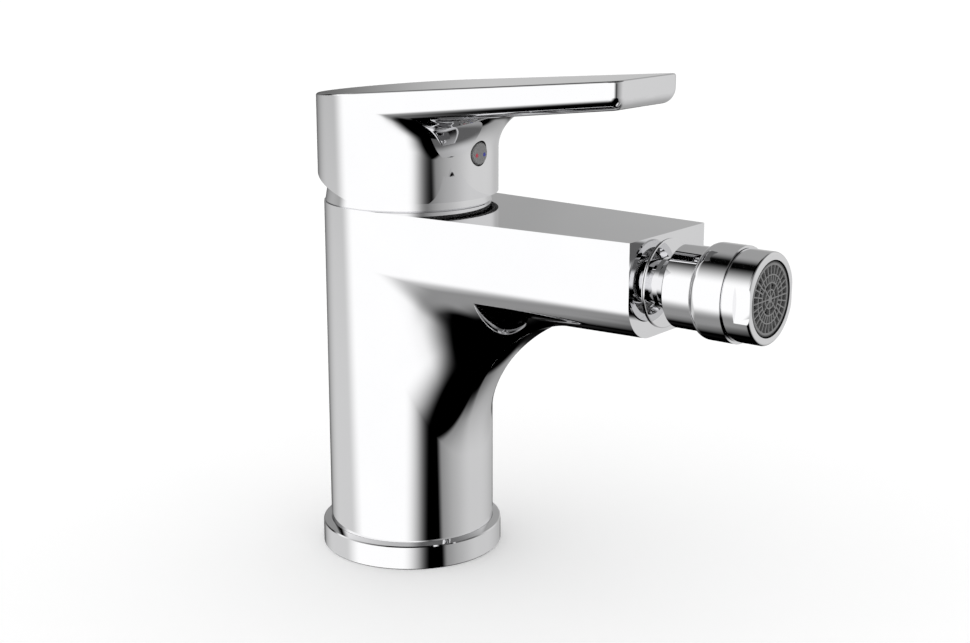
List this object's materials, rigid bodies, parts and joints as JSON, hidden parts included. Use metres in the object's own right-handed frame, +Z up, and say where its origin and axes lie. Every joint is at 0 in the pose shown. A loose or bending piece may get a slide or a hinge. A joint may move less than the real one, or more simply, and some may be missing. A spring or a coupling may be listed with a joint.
{
  "type": "bidet mixer",
  "caption": "Single-lever bidet mixer with a round column, blended flat-topped spout, swivelling ball-joint aerator outlet and ceramic disc cartridge.",
  "frame": {"origin": "centre of the base ring's underside, where it stands on the deck", "axes": "+Z up along the column, +X out along the spout, symmetric about the XZ plane at rest"},
  "size_m": [0.1408, 0.0522, 0.1398],
  "materials": {
    "chrome": "polished chrome plate over cast brass",
    "chrome_ring": "polished chrome plate",
    "gasket_rubber": "matte moulded rubber",
    "chrome_collar": "polished chrome plate",
    "brass": "machined brass",
    "cartridge_plastic": "white moulded plastic",
    "seal_rubber": "black rubber",
    "ceramic": "lapped ceramic",
    "carrier_plastic": "grey moulded plastic",
    "steel": "drawn steel",
    "chrome_lever": "polished chrome plate over cast zinc",
    "plug_grey": "grey moulded plastic",
    "red_mark": "red inlay",
    "blue_mark": "blue inlay",
    "chrome_joint": "polished chrome plate over turned brass",
    "seat_plastic": "pale acetal",
    "chrome_swivel": "polished chrome plate over turned brass",
    "chrome_aerator": "polished chrome plate over turned brass",
    "insert_plastic": "pale grey moulded plastic",
    "screen_steel": "woven stainless steel"
  },
  "bodies": {
    "root": {"body": "chrome", "base_ring": "chrome_ring", "base_gasket": "gasket_rubber", "dome_collar": "chrome_collar", "cartridge_nut": "brass", "cartridge_housing": "cartridge_plastic", "cartridge_base": "cartridge_plastic", "port_seals": "seal_rubber", "disc_seals": "seal_rubber", "fixed_disc": "ceramic", "ball_stem": "chrome_joint", "outlet_seal": "seal_rubber"},
    "rotor": {"cartridge_rotor": "carrier_plastic", "rotor_seal": "seal_rubber", "stem_pin": "steel"},
    "mixing_disc": {"moving_disc": "ceramic", "disc_carrier": "carrier_plastic"},
    "handle": {"lever": "chrome_lever", "stem": "steel", "grub_screw": "steel", "indicator_plug": "plug_grey", "hot_mark": "red_mark", "cold_mark": "blue_mark"},
    "rear_seat": {"rear_seat_ring": "seat_plastic"},
    "front_seat": {"front_seat_ring": "seat_plastic"},
    "outlet": {"swivel_nut": "chrome_swivel", "swivel_sleeve": "chrome_swivel", "aerator_washer": "seal_rubber", "aerator_housing": "chrome_aerator", "aerator_insert": "insert_plastic", "flow_plate": "insert_plastic", "aerator_screens": "screen_steel"}
  },
  "joints": [
    {"name": "handle_swivel", "type": "hinge", "parent": "root", "child": "rotor", "pos_m": [0, 0, 0.106], "axis": [0, 0, 1], "range_deg": [-50, 50]},
    {"name": "handle_lift", "type": "hinge", "parent": "rotor", "child": "handle", "pos_m": [0, 0, 0.106], "axis": [0, -1, 0], "range_deg": [0, 20]},
    {"name": "disc_slide", "type": "slide", "parent": "rotor", "child": "mixing_disc", "axis": [1, 0, 0], "range_m": [0, 0.0049]},
    {"name": "outlet_yaw", "type": "hinge", "parent": "root", "child": "rear_seat", "pos_m": [0.0975, 0, 0.0886], "axis": [0, 0, 1], "range_deg": [-12, 12]},
    {"name": "outlet_pitch", "type": "hinge", "parent": "rear_seat", "child": "front_seat", "pos_m": [0.0975, 0, 0.0886], "axis": [0, 1, 0], "range_deg": [-12, 12]},
    {"name": "outlet_spin", "type": "hinge", "parent": "front_seat", "child": "outlet", "pos_m": [0.0975, 0, 0.0886], "axis": [1, 0, 0], "continuous": true}
  ],
  "couplings": [
    {"joint": "disc_slide", "follows": "handle_lift", "m_per_rad": 0.01386}
  ]
}
